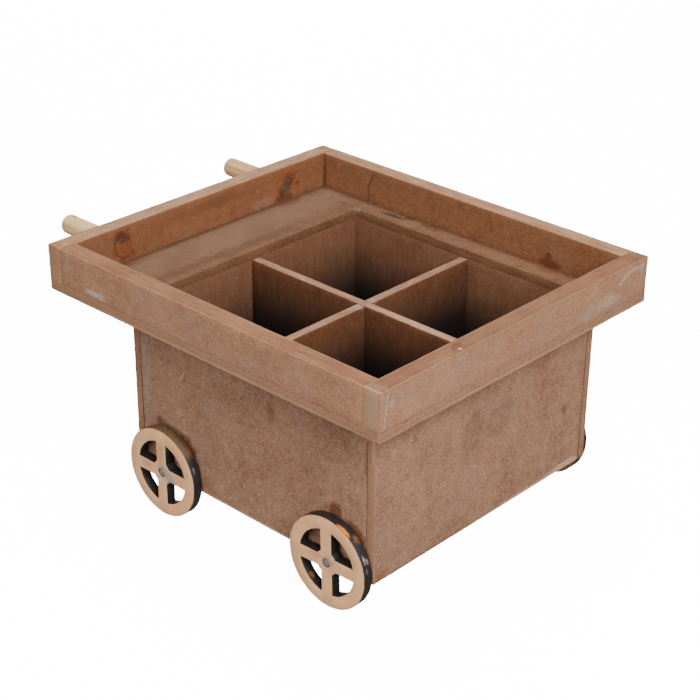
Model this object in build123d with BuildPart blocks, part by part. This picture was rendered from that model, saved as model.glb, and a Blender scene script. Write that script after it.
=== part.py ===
from build123d import *
from math import cos, radians, sin
import os

# Small craft-board cart: a box with four compartments under a wide shallow tray,
# two dowel handles at the back and four spoked wheels on headed pins.
#
# Frame: millimetres, +Z up, +X forward (the handles point to -X), +Y to the left.
# The origin is on the ground, under the middle of the overall length and width.

# ---- Tray ----
tray_length = 136.0          # over the rims, along X
tray_width = 120.0           # over the rims, along Y
tray_floor_thickness = 3.0
rim_height = 12.0            # above the tray floor
rim_thickness = 6.0
rim_joint_gap = 0.15         # at each end of a rim that stands between two others

# ---- Box under the tray ----
box_length = 100.0           # over the walls, along X
box_width = 99.0             # over the walls, along Y
box_wall_height = 54.5
box_wall_thickness = 3.0
box_wall_joint_gap = 0.1     # at each end of a wall or panel that stands between others
box_floor_thickness = 6.0
front_overhang = 10.5        # the tray's front face stands this far ahead of the box

# ---- Dividers ----
divider_thickness = 3.2
divider_end_gap = 0.2        # between a divider's end and the wall
divider_slot_clearance = 0.1 # each side of a divider in the other's slot
long_divider_shift = -0.6    # of the lengthwise divider from the box's middle, along Y
cross_divider_shift = 0.7    # of the crosswise divider from the box's middle, along X

# ---- Handles ----
handle_diameter = 6.5
handle_reach = 22.0          # behind the rear rim
handle_spacing = 71.0        # centre to centre
handle_height = 4.8          # axis above the tray floor
handle_end_round = 1.3
handle_hole_clearance = 0.05 # glue line round the dowel, radial

# ---- Wheels ----
wheel_diameter = 29.5
wheel_thickness = 3.2
wheel_ring_width = 4.15
wheel_spoke_width = 4.2
wheel_spoke_count = 4
wheel_hub_diameter = 8.0
wheel_end_inset = 0.0        # from the box's end to the wheel's edge
wheel_side_gap = 0.5         # between the box wall and the wheel
hub_above_box_bottom = 2.6
wheel_rest_turn = {"front_right": 2.0}  # degrees, seen from outside, anticlockwise
wheel_shift = {"front_left": -1.5}      # along X from its place by the box's end

# ---- Axle pins ----
pin_shank_diameter = 1.6
pin_head_diameter = 2.6
pin_head_thickness = 0.7
pin_head_gap = 0.3           # round and under the head, so the wheel turns freely
pin_bite = 5.0               # into the floor panel's edge
pin_hole_clearance = 0.03    # in the wall and the floor panel, radial
wheel_bore_clearance = 0.08  # running fit of the wheel on the shank, radial

# ---- Edges ----
board_edge_break = 0.25      # sanded edge of every board
dowel_edge_break = 0.2       # inner end of a dowel
wheel_edge_break = 0.15      # rim of a cut wheel

# ---- Places worked out from the sizes above ----
overall_length = tray_length + handle_reach
tray_front = overall_length / 2
tray_rear = tray_front - tray_length
tray_middle = (tray_front + tray_rear) / 2
box_front = tray_front - front_overhang
box_rear = box_front - box_length
box_middle = (box_front + box_rear) / 2
inner_length = box_length - 2 * box_wall_thickness
inner_width = box_width - 2 * box_wall_thickness

wheel_radius = wheel_diameter / 2
hub_height = wheel_radius
box_bottom = hub_height - hub_above_box_bottom
box_floor_top = box_bottom + box_floor_thickness
wall_top = box_bottom + box_wall_height
tray_floor_top = wall_top + tray_floor_thickness
divider_height = wall_top - box_floor_top
divider_half_height = divider_height / 2
divider_slot_width = divider_thickness + 2 * divider_slot_clearance

handle_hole_radius = handle_diameter / 2 + handle_hole_clearance
pin_hole_radius = pin_shank_diameter / 2 + pin_hole_clearance
pin_depth = box_wall_thickness + pin_bite
wheel_outer_face = wheel_side_gap + wheel_thickness
wheel_counterbore_depth = pin_head_thickness + pin_head_gap

wheel_ends = {
    "front": box_front - wheel_end_inset - wheel_radius,
    "rear": box_rear + wheel_end_inset + wheel_radius,
}
side_signs = {"left": 1, "right": -1}


def hub_plane(end, side, turn=0.0):
    """Plane on the box's side face, centred on a hub, facing outwards and turned in its own face."""
    outward = side_signs[side]
    place = wheel_ends[end] + wheel_shift.get(f"{end}_{side}", 0.0)
    origin = (place, outward * box_width / 2, hub_height)
    across = (-outward * cos(radians(turn)), 0, sin(radians(turn)))
    return Plane(origin=origin, x_dir=across, z_dir=(0, outward, 0))


def save(piece, name):
    piece.label = name
    export_step(piece, f"parts/{name}.step")


os.makedirs("parts", exist_ok=True)

# ---- Tray floor: a plate with an opening over the box's inside ----
with BuildPart() as tray_floor:
    with BuildSketch(Plane.XY.offset(wall_top)):
        with Locations((tray_middle, 0)):
            Rectangle(tray_length, tray_width)
        with Locations((box_middle, 0)):
            Rectangle(inner_length, inner_width, mode=Mode.SUBTRACT)
    extrude(amount=tray_floor_thickness)
    chamfer(tray_floor.edges(), board_edge_break)
save(tray_floor.part, "tray_floor")

# ---- Front and rear rims run the tray's full width ----
with BuildPart() as rim_front:
    with BuildSketch(Plane.XY.offset(tray_floor_top)):
        with Locations((tray_front - rim_thickness / 2, 0)):
            Rectangle(rim_thickness, tray_width)
    extrude(amount=rim_height)
    chamfer(rim_front.edges(), board_edge_break)
save(rim_front.part, "rim_front")

with BuildPart() as rim_rear:
    with BuildSketch(Plane.XY.offset(tray_floor_top)):
        with Locations((tray_rear + rim_thickness / 2, 0)):
            Rectangle(rim_thickness, tray_width)
    extrude(amount=rim_height)
    chamfer(rim_rear.edges(), board_edge_break)
    with BuildSketch(Plane.YZ.offset(tray_rear)):
        with Locations((0, tray_floor_top + handle_height)):
            with GridLocations(handle_spacing, 0, len(side_signs), 1):
                Circle(handle_hole_radius)
    extrude(amount=rim_thickness, mode=Mode.SUBTRACT)
save(rim_rear.part, "rim_rear")

# ---- Side rims stand between them ----
side_rim_length = tray_length - 2 * (rim_thickness + rim_joint_gap)
for side, outward in side_signs.items():
    with BuildPart() as side_rim:
        with BuildSketch(Plane.XY.offset(tray_floor_top)):
            with Locations((tray_middle, outward * (tray_width - rim_thickness) / 2)):
                Rectangle(side_rim_length, rim_thickness)
        extrude(amount=rim_height)
        chamfer(side_rim.edges(), board_edge_break)
    save(side_rim.part, f"rim_{side}")

# ---- Side walls hold the axle pins; the left one runs the full length, the right one fits between ----
side_wall_lengths = {"left": box_length, "right": inner_length - 2 * box_wall_joint_gap}
for side, outward in side_signs.items():
    with BuildPart() as side_wall:
        with BuildSketch(Plane.XY.offset(box_bottom)):
            with Locations((box_middle, outward * (box_width - box_wall_thickness) / 2)):
                Rectangle(side_wall_lengths[side], box_wall_thickness)
        extrude(amount=box_wall_height)
        chamfer(side_wall.edges(), board_edge_break)
        for end in wheel_ends:
            with BuildSketch(hub_plane(end, side)):
                Circle(pin_hole_radius)
            extrude(amount=-box_wall_thickness, mode=Mode.SUBTRACT)
    save(side_wall.part, f"wall_{side}")

# ---- Front and rear walls cover the right wall's ends and stop at the left wall ----
end_wall_right = -box_width / 2
end_wall_left = inner_width / 2 - box_wall_joint_gap
end_wall_places = {
    "front": box_front - box_wall_thickness / 2,
    "rear": box_rear + box_wall_thickness / 2,
}
for end, place in end_wall_places.items():
    with BuildPart() as end_wall:
        with BuildSketch(Plane.XY.offset(box_bottom)):
            with Locations((place, (end_wall_left + end_wall_right) / 2)):
                Rectangle(box_wall_thickness, end_wall_left - end_wall_right)
        extrude(amount=box_wall_height)
        chamfer(end_wall.edges(), board_edge_break)
    save(end_wall.part, f"wall_{end}")

# ---- Floor panel inside the four walls; the pins end in its edges ----
with BuildPart() as box_floor:
    with BuildSketch(Plane.XY.offset(box_bottom)):
        with Locations((box_middle, 0)):
            Rectangle(inner_length - 2 * box_wall_joint_gap, inner_width - 2 * box_wall_joint_gap)
    extrude(amount=box_floor_thickness)
    chamfer(box_floor.edges(), board_edge_break)
    for side in side_signs:
        for end in wheel_ends:
            with BuildSketch(hub_plane(end, side)):
                Circle(pin_hole_radius)
            extrude(amount=-pin_depth, mode=Mode.SUBTRACT)
save(box_floor.part, "box_floor")

# ---- Dividers lap each other at half height; the lengthwise one is whole on top ----
with BuildPart() as divider_long:
    with BuildSketch(Plane.XY.offset(box_floor_top)):
        with Locations((box_middle, long_divider_shift)):
            Rectangle(inner_length - 2 * divider_end_gap, divider_thickness)
    extrude(amount=divider_height)
    chamfer(divider_long.edges(), board_edge_break)
    with BuildSketch(Plane.XY.offset(box_floor_top)):
        with Locations((box_middle + cross_divider_shift, long_divider_shift)):
            Rectangle(divider_slot_width, divider_thickness)
    extrude(amount=divider_half_height, mode=Mode.SUBTRACT)
save(divider_long.part, "divider_long")

with BuildPart() as divider_cross:
    with BuildSketch(Plane.XY.offset(box_floor_top)):
        with Locations((box_middle + cross_divider_shift, 0)):
            Rectangle(divider_thickness, inner_width - 2 * divider_end_gap)
    extrude(amount=divider_height)
    chamfer(divider_cross.edges(), board_edge_break)
    with BuildSketch(Plane.XY.offset(wall_top)):
        with Locations((box_middle + cross_divider_shift, long_divider_shift)):
            Rectangle(divider_thickness, divider_slot_width)
    extrude(amount=-divider_half_height, mode=Mode.SUBTRACT)
save(divider_cross.part, "divider_cross")

# ---- Handles: dowels glued through the rear rim, rounded at the free end ----
handle_length = handle_reach + rim_thickness
for side, outward in side_signs.items():
    with BuildPart() as handle:
        with BuildSketch(Plane.YZ.offset(tray_rear - handle_reach)):
            with Locations((outward * handle_spacing / 2, tray_floor_top + handle_height)):
                Circle(handle_diameter / 2)
        extrude(amount=handle_length)
        handle_ends = handle.edges().filter_by(GeomType.CIRCLE).sort_by(Axis.X)
        fillet(handle_ends.first, handle_end_round)
        chamfer(handle_ends.last, dowel_edge_break)
    save(handle.part, f"handle_{side}")

# ---- Wheels: flat discs with spokes, and a counterbore for the pin's head ----
ring_inner_radius = wheel_radius - wheel_ring_width
spoke_length = wheel_radius - wheel_ring_width / 2
for end in wheel_ends:
    for side in side_signs:
        turn = wheel_rest_turn.get(f"{end}_{side}", 0.0)
        wheel_plane = hub_plane(end, side, turn)
        with BuildPart() as wheel:
            with BuildSketch(wheel_plane.offset(wheel_side_gap)):
                Circle(wheel_radius)
                Circle(ring_inner_radius, mode=Mode.SUBTRACT)
                with PolarLocations(0, wheel_spoke_count):
                    Rectangle(spoke_length, wheel_spoke_width, align=(Align.MIN, Align.CENTER))
                Circle(wheel_hub_diameter / 2)
                Circle(pin_shank_diameter / 2 + wheel_bore_clearance, mode=Mode.SUBTRACT)
            extrude(amount=wheel_thickness)
            rim_edges = wheel.edges().filter_by(GeomType.CIRCLE).group_by(SortBy.RADIUS)[-1]
            chamfer(rim_edges, wheel_edge_break)
            with BuildSketch(wheel_plane.offset(wheel_outer_face)):
                Circle(pin_head_diameter / 2 + pin_head_gap)
            extrude(amount=-wheel_counterbore_depth, mode=Mode.SUBTRACT)
        save(wheel.part, f"wheel_{end}_{side}")

# ---- Axle pins: the head is flush with the wheel, the shank ends in the floor panel ----
for end in wheel_ends:
    for side in side_signs:
        with BuildPart() as axle_pin:
            with BuildSketch(hub_plane(end, side).offset(-pin_depth)):
                Circle(pin_shank_diameter / 2)
            extrude(amount=pin_depth + wheel_outer_face)
            with BuildSketch(hub_plane(end, side).offset(wheel_outer_face)):
                Circle(pin_head_diameter / 2)
            extrude(amount=-pin_head_thickness)
        save(axle_pin.part, f"axle_pin_{end}_{side}")
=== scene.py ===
import bmesh
import bpy
import math
import random
from mathutils import Matrix, Vector, noise


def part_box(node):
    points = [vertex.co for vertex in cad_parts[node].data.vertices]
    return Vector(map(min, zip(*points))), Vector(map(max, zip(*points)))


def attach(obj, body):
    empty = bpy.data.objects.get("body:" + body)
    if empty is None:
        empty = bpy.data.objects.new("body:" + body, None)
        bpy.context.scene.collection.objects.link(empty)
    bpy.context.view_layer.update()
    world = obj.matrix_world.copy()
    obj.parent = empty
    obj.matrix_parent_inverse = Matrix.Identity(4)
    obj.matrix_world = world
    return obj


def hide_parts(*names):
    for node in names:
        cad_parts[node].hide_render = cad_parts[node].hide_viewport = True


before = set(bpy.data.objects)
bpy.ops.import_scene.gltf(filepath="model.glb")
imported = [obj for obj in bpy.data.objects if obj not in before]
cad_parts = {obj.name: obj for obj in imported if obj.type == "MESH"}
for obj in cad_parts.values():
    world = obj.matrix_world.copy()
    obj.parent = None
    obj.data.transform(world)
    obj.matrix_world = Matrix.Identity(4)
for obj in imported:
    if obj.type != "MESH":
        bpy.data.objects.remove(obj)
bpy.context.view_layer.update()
mm = 0.001
tiny = 1e-6  # metres, for points that share a plane
print("frame loaded:", len(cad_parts), "nodes")


def paint(red, green, blue):
    # a colour given 0 to 255, as the linear colour that the shader wants
    def linear(level):
        part = level / 255
        return part / 12.92 if part <= 0.04045 else ((part + 0.055) / 1.055) ** 2.4
    return (linear(red), linear(green), linear(blue), 1.0)


class Value:
    # one socket that can be used in plain sums
    def __init__(self, finish, out):
        self.finish = finish
        self.out = out

    def __add__(self, other):
        return self.finish.sum("ADD", self, other)

    def __sub__(self, other):
        return self.finish.sum("SUBTRACT", self, other)

    def __mul__(self, other):
        return self.finish.sum("MULTIPLY", self, other)

    def __truediv__(self, other):
        return self.finish.sum("DIVIDE", self, other)

    def __rsub__(self, other):
        return self.finish.sum("SUBTRACT", other, self)

    def __rtruediv__(self, other):
        return self.finish.sum("DIVIDE", other, self)

    __radd__ = __add__
    __rmul__ = __mul__


class Finish:
    # builds one procedural material
    def __init__(self, name):
        self.material = bpy.data.materials.new(name)
        self.material.use_nodes = True
        self.tree = self.material.node_tree
        self.tree.nodes.clear()
        self.here = self.node("TexCoord", {}, {}, "Object")

    def node(self, kind, settings, inputs, output=0):
        made = self.tree.nodes.new("ShaderNode" + kind)
        for key, setting in settings.items():
            setattr(made, key, setting)
        for key, value in inputs.items():
            if isinstance(value, Value):
                self.tree.links.new(value.out, made.inputs[key])
            else:
                made.inputs[key].default_value = value
        return None if output is None else Value(self, made.outputs[output])

    def sum(self, operation, first, second=0.0):
        return self.node("Math", {"operation": operation}, {0: first, 1: second})

    def least(self, first, second):
        return self.sum("MINIMUM", first, second)

    def most(self, first, second):
        return self.sum("MAXIMUM", first, second)

    def ease(self, value, low, high, start=0.0, end=1.0):
        # smooth step from start to end while value goes from low to high
        given = {"Value": value, "From Min": low, "From Max": high, "To Min": start, "To Max": end}
        return self.node("MapRange", {"interpolation_type": "SMOOTHSTEP"}, given)

    def mix(self, factor, first, second):
        return self.node("Mix", {"data_type": "RGBA"}, {0: factor, 6: first, 7: second}, 2)

    def vector(self, operation, first, second=(0, 0, 0), output=0):
        return self.node("VectorMath", {"operation": operation}, {0: first, 1: second}, output)

    def placed(self, where, centre=(0, 0, 0), turn=(0, 0, 0), size=(1, 1, 1)):
        # coordinates measured from a place, turned, in units of size
        angles = [math.radians(angle) for angle in turn]
        given = {"Vector": where, "Location": centre, "Rotation": angles, "Scale": size}
        return self.node("Mapping", {"vector_type": "TEXTURE"}, given)

    def cloud(self, where, scale, detail, roughness):
        given = {"Vector": where, "Scale": scale, "Detail": detail, "Roughness": roughness}
        return self.node("TexNoise", {}, given, "Fac")

    def axes(self, where):
        first = self.node("SeparateXYZ", {}, {0: where})
        return [Value(self, out) for out in first.out.node.outputs]

    def close(self, colour, roughness, height=None, metallic=0.0, bumpDepth=0.0001,
              bumpStrength=0.5, extra=None):
        # height drives the bump; extra holds constants for other sockets
        given = {"Base Color": colour, "Roughness": roughness, "Metallic": metallic}
        if height is not None:
            bump = {"Height": height, "Distance": bumpDepth, "Strength": bumpStrength}
            given["Normal"] = self.node("Bump", {}, bump)
        given.update(extra or {})
        self.node("OutputMaterial", {}, {"Surface": self.node("BsdfPrincipled", {}, given)}, None)
        return self.material


markTones = {
    "white": paint(190, 176, 166), "grey": paint(146, 132, 124), "lavender": paint(160, 148, 154),
    "yellow": paint(166, 146, 64), "brown": paint(92, 46, 24), "darkBrown": paint(56, 28, 16),
    "dull": paint(86, 58, 38), "toast": paint(108, 62, 32), "amber": paint(130, 70, 30),
    "heart": paint(84, 54, 36), "soot": paint(48, 36, 32), "rust": paint(136, 80, 48),
    "tanBrown": paint(104, 76, 52), "dusty": paint(118, 89, 68), "pale": paint(196, 158, 126),
    "rimFace": paint(160, 118, 90), "orange": paint(214, 128, 40),
}
markLook = {
    "outline": (700, 4, 0.6),          # clouds: scale per metre, detail, roughness
    "wideOutline": (170, 3, 0.6),
    "wideShare": 1.6,                  # the wide outline's part in the raggedness
    "ragged": 0.9,
    "soft": 0.35,
    "tide": (0.45, 0.95),              # where a drop's middle ends and its rim begins
    "gloss": 0.8,                      # the roughness that a mark's gloss is measured from
    "broken": (1100, 4, 0.7),          # dried glue breaks up where the board is rough
    "brokenRange": (0.4, 0.62, 0.3, 1.0),
    "brokenTones": ("white", "grey", "lavender"),
    "worn": (1500, 4, 0.7),            # dust and wear let the board's own pattern show
    "wornRange": (0.35, 0.62, 0.5, 1.0),
    "wornTones": ("dusty", "rimFace", "heart"),
}


def spot(at, size, tone, strength, **more):
    # a stain, a drop of glue, and once a patch of painted shade, each given by its middle and half its size
    # in millimetres, and how strong it is
    return {"at": at, "size": size, "tone": tone, "strength": strength, **more}


def addMarks(finish, colour, roughness, marks):
    # each mark is a soft ragged ellipsoid at its place on the object
    if not marks:
        return colour, roughness
    look = markLook
    outline = finish.cloud(finish.here, *look["outline"])
    wideOutline = finish.cloud(finish.here, *look["wideOutline"])
    broken = finish.ease(finish.cloud(finish.here, *look["broken"]), *look["brokenRange"])
    worn = finish.ease(finish.cloud(finish.here, *look["worn"]), *look["wornRange"])
    for mark in marks:
        centre = [value * mm for value in mark["at"]]
        size = [value * mm for value in mark["size"]]
        place = finish.placed(finish.here, centre, mark.get("turn", (0, 0, 0)), size)
        reach = finish.vector("LENGTH", place, output="Value")
        ragged = mark.get("ragged", look["ragged"])
        wideRagged = ragged * look["wideShare"]
        reach = reach + (outline - 0.5) * ragged + (wideOutline - 0.5) * wideRagged
        soft = mark.get("soft", look["soft"])
        mask = finish.ease(reach, 1 - soft, 1 + soft, 1.0, 0.0)
        if "tide" in mark:
            # the rim of a dried drop is stronger than its middle
            mask = mask * finish.ease(reach, *look["tide"], 1 - mark["tide"], 1.0)
        if mark["tone"] in look["brokenTones"]:
            mask = mask * broken
        if mark["tone"] in look["wornTones"]:
            mask = mask * worn
        mask = mask * mark["strength"]
        colour = finish.mix(mask, colour, markTones[mark["tone"]])
        if "gloss" in mark:
            roughness = roughness + mask * (mark["gloss"] - look["gloss"])
    return colour, roughness


boardLook = {
    "mottle": 0.5,       # patches of a centimetre or two
    "cloudiness": 0.55,  # patches of a few millimetres
    "fleck": 1.5,        # fibre clumps of half a millimetre
    "fibres": 0.6,       # pale hairs
    "specks": 0.5,       # dark bark specks
    "greying": 0.3,      # dusty grey patches
    "edgeWear": 0.8,     # millimetres that handling has rounded and darkened
    "edgeWander": 2.2,   # millimetres that the worn edge wanders in and out
    "sawnFrom": 0.12,    # millimetres in from a broad face where the sawn edge starts to show
    "sawnFull": 0.4,
    "innerFrom": 0.1,    # millimetres past a wall's inner face where its outside starts
    "innerFull": 0.25,
    # painted shade: how strongly the inner side of a wall is tinted darker and redder
    "innerShadeTint": 0.7,
    "roughness": 0.82,
    "sheen": 0.28,
    "streaks": 0.5,      # upright streaks down the inner faces of the compartments
    "bump": 0.00011,
    "bumpStrength": 0.6,
}
boardClouds = {          # scale per metre, detail, roughness
    "broad": (62, 3, 0.55), "middling": (310, 4, 0.62), "fine": (1900, 3, 0.7), "hair": (2300, 2, 0.5),
    "speck": (1150, 2, 0.5), "dust": (90, 4, 0.6), "sawLines": (1100, 3, 0.6),
    "sawFlecks": (1500, 3, 0.7), "wander": (420, 3, 0.6), "streak": (900, 3, 0.6),
}
boardStretch = {"hair": (5.5, 1, 1), "speck": (1, 1.7, 1), "streak": (1, 1, 7), "sawLines": 9}
hairTurns = ((20, 35, 10), (70, -20, 65), (-35, 60, 120))
fleckRange = (0.66, 0.74)    # where hairs and specks stand out of their clouds
dustRange = (0.42, 0.7)
dustPlace = (0.1, 0.2, 0.3)


def fibreboard(name, low, high, tone, marks=(), seed=0):
    finish = Finish(name)
    here = finish.here
    shuffle = random.Random(seed)
    offset = [shuffle.uniform(-0.4, 0.4) for _ in range(3)]
    inside = finish.placed(here, offset)

    def laid(cloudName, where=inside):
        return finish.cloud(where, *boardClouds[cloudName])

    broad = laid("broad")
    middling = laid("middling")
    fine = laid("fine")
    level = (broad - 0.5) * boardLook["mottle"] + (middling - 0.5) * boardLook["cloudiness"]
    level = level + (fine - 0.5) * boardLook["fleck"] + 0.5
    colour = finish.mix(finish.ease(level, 0.0, 1.0), tone["dark"], tone["light"])
    # pale fibres lie in every direction, so three stretched clouds are laid over each other
    hair = None
    for turn in hairTurns:
        strand = laid("hair", finish.placed(inside, turn=turn, size=boardStretch["hair"]))
        hair = strand if hair is None else finish.most(hair, strand)
    colour = finish.mix(finish.ease(hair, *fleckRange) * boardLook["fibres"], colour, tone["fibre"])
    speck = laid("speck", finish.placed(inside, size=boardStretch["speck"]))
    colour = finish.mix(finish.ease(speck, *fleckRange) * boardLook["specks"], colour, tone["speck"])
    dust = laid("dust", finish.placed(inside, dustPlace))
    colour = finish.mix(finish.ease(dust, *dustRange) * boardLook["greying"], colour, tone["dust"])
    # how far each point lies inside the board, along each axis
    middle = (low + high) / 2
    half = (high - low) / 2
    away = finish.vector("ABSOLUTE", finish.vector("SUBTRACT", here, middle))
    parts = finish.axes(away)
    room = [half[i] - parts[i] for i in range(3)]
    fromEdge = finish.least(room[0], room[1])
    fromEdge = finish.most(fromEdge, finish.least(room[1], room[2]))
    fromEdge = finish.most(fromEdge, finish.least(room[0], room[2]))
    thin = min(range(3), key=lambda i: half[i])
    sawn = finish.ease(room[thin], boardLook["sawnFrom"] * mm, boardLook["sawnFull"] * mm)
    # sawn edges show faint saw lines that run along the board, and a few flecks
    stretch = [1, 1, 1]
    stretch[max(range(3), key=lambda i: half[i])] = boardStretch["sawLines"]
    lines = laid("sawLines", finish.placed(inside, size=stretch))
    flecks = laid("sawFlecks")
    grain = (lines - 0.5) * 1.1 + (flecks - 0.5) * 0.7 + (broad - 0.5) * 0.8 + 0.5
    sawnTone = finish.mix(finish.ease(grain, 0.1, 0.9), tone["sawnDark"], tone["sawnLight"])
    colour = finish.mix(sawn * tone["sawnStrength"], colour, sawnTone)
    edgeWander = (laid("wander") - 0.5) * (boardLook["edgeWander"] * mm)
    wornEdge = finish.ease(fromEdge + edgeWander, 0.0, boardLook["edgeWear"] * mm, 1.0, 0.0)
    colour = finish.mix(wornEdge * tone["edgeStrength"], colour, tone["edge"])
    roughness = boardLook["roughness"] + (fine - 0.5) * 0.2
    colour, roughness = addMarks(finish, colour, roughness, marks)
    if "paintedShade" in tone:
        # painted shade: the inner faces of the compartments are darkened towards the floor, and the walls'
        # inner sides are tinted darker and redder
        bottom, top, least = tone["paintedShade"]
        split = finish.axes(here)
        streak = laid("streak", finish.placed(inside, size=boardStretch["streak"]))
        unshaded = finish.ease(split[2], bottom * mm, top * mm, least, 1.0)
        unshaded = unshaded + (streak - 0.5) * boardLook["streaks"] * finish.ease(unshaded, 0.1, 0.5)
        if "innerSide" in tone:
            axis, plane, sign = tone["innerSide"]
            start = (plane + boardLook["innerFrom"]) * mm
            outside = finish.ease(split[axis] * sign, start, (plane + boardLook["innerFull"]) * mm)
            unshaded = finish.most(unshaded, outside)
            # painted shade: the inner side of a wall takes a darker, redder tint
            colour = finish.mix((1 - outside) * boardLook["innerShadeTint"], colour, tone["innerShadeTint"])
        colour = finish.mix(unshaded, tone["paintedShadeColour"], colour)
    height = fine * 0.6 + middling * 0.25 + hair * 0.3
    dull = {"Specular IOR Level": boardLook["sheen"]}
    return finish.close(colour, roughness, height, bumpDepth=boardLook["bump"],
                        bumpStrength=boardLook["bumpStrength"], extra=dull)


def sharpEdges(shape, least=40):
    found = []
    for edge in shape.edges:
        if len(edge.link_faces) == 2 and edge.calc_face_angle(0) > math.radians(least):
            found.append(edge)
    return found


def cutAlong(shape, step):
    # cuts the long straight edges, so that wear has something to move
    for axis in range(3):
        runs = {}
        for edge in shape.edges:
            span = edge.verts[1].co - edge.verts[0].co
            if abs(span[axis]) > 0.999 * span.length:
                cuts = int(span.length / step)
                runs.setdefault(cuts, []).append(edge)
        for cuts, edges in runs.items():
            if cuts > 0:
                alive = [edge for edge in edges if edge.is_valid]
                bmesh.ops.subdivide_edges(shape, edges=alive, cuts=cuts, use_grid_fill=True)


def roundOff(shape, edges, width, segments, material=-1):
    bmesh.ops.bevel(
        shape, geom=edges, offset=width, offset_type="OFFSET", segments=segments, profile=0.5,
        affect="EDGES", material=material, clamp_overlap=True)


def turnShape(shape, degrees, axis, centre=(0, 0, 0)):
    spin = Matrix.Rotation(math.radians(degrees), 3, axis)
    bmesh.ops.rotate(shape, cent=centre, matrix=spin, verts=shape.verts)


def thicken(shape, rise):
    # draws the flat faces out into a solid
    grown = bmesh.ops.extrude_face_region(shape, geom=shape.faces[:])
    moved = [item for item in grown["geom"] if isinstance(item, bmesh.types.BMVert)]
    bmesh.ops.translate(shape, vec=rise, verts=moved)


def wearEdges(shape, low, high, seed):
    # handling has taken a little off the edges, unevenly; nothing grows
    depth = edgeShape["wearDepth"] * mm
    reach = edgeShape["wearReach"] * mm
    middle = (low + high) / 2
    half = (high - low) / 2
    for vert in shape.verts:
        away = vert.co - middle
        room = sorted(half[i] - abs(away[i]) for i in range(3))
        near = 1 - room[1] / reach
        if near > 0:
            place = vert.co * edgeShape["wearScale"] + Vector((seed * 3.7, seed * 1.9, 0))
            bite = max(0.0, noise.noise(place) + edgeShape["wearBias"]) * depth * near
            for i in range(3):
                if half[i] - abs(away[i]) < reach:
                    vert.co[i] -= math.copysign(min(bite, half[i]), away[i])


def makePiece(name, shape, materials, body="cart_body", stands=(), smooth=35):
    mesh = bpy.data.meshes.new(name)
    bmesh.ops.recalc_face_normals(shape, faces=shape.faces[:])
    for face in shape.faces:
        face.smooth = True
    for edge in shape.edges:
        if len(edge.link_faces) == 2:
            edge.smooth = edge.calc_face_angle(0) < math.radians(smooth)
    shape.to_mesh(mesh)
    shape.free()
    for material in materials:
        mesh.materials.append(material)
    piece = bpy.data.objects.new(name, mesh)
    bpy.context.scene.collection.objects.link(piece)
    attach(piece, body)
    if stands:
        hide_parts(*stands)
    return piece


def plainBoard(low, high):
    shape = bmesh.new()
    bmesh.ops.create_cube(shape, size=1)
    bmesh.ops.scale(shape, vec=high - low, verts=shape.verts)
    bmesh.ops.translate(shape, vec=(low + high) / 2, verts=shape.verts)
    return shape


def cutBoard(low, high, thinAxis, firstLines, secondLines, openCells, holes=()):
    # a flat grid with a line at every cut, less the open cells, drawn out to the board's thickness
    shape = bmesh.new()
    columns = len(firstLines) - 1
    rows = len(secondLines) - 1
    bmesh.ops.create_grid(shape, x_segments=columns, y_segments=rows, size=1)
    flatAxes = [axis for axis in range(3) if axis != thinAxis]
    for vert in shape.verts:
        column = round((vert.co.x + 1) / 2 * columns)
        row = round((vert.co.y + 1) / 2 * rows)
        place = Vector((0, 0, 0))
        place[flatAxes[0]] = firstLines[column]
        place[flatAxes[1]] = secondLines[row]
        place[thinAxis] = low[thinAxis]
        vert.co = place
    shape.faces.ensure_lookup_table()

    def cellFace(column, row):
        wanted = Vector((0, 0, 0))
        wanted[flatAxes[0]] = (firstLines[column] + firstLines[column + 1]) / 2
        wanted[flatAxes[1]] = (secondLines[row] + secondLines[row + 1]) / 2
        wanted[thinAxis] = low[thinAxis]
        return min(shape.faces, key=lambda face: (face.calc_center_median() - wanted).length)

    openFaces = [cellFace(column, row) for column, row in openCells]
    if openFaces:
        bmesh.ops.delete(shape, geom=openFaces, context="FACES")
    for column, row, centre, radius in holes:
        face = cellFace(column, row)
        bmesh.ops.subdivide_edges(shape, edges=face.edges[:], cuts=holeLook["sideCuts"])
        face = cellFace(column, row)
        bmesh.ops.inset_individual(
            shape, faces=[face], thickness=holeLook["firstInset"] * mm, use_even_offset=True)
        for vert in face.verts:
            arm = vert.co - centre
            arm[thinAxis] = 0
            vert.co = centre + arm.normalized() * radius
            vert.co[thinAxis] = low[thinAxis]
        bmesh.ops.delete(shape, geom=[face], context="FACES")
    rise = Vector((0, 0, 0))
    rise[thinAxis] = high[thinAxis] - low[thinAxis]
    thicken(shape, rise)
    bmesh.ops.recalc_face_normals(shape, faces=shape.faces[:])
    return shape


def cubesOf(node):
    low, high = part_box(node)
    return Vector(low), Vector(high)


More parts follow.
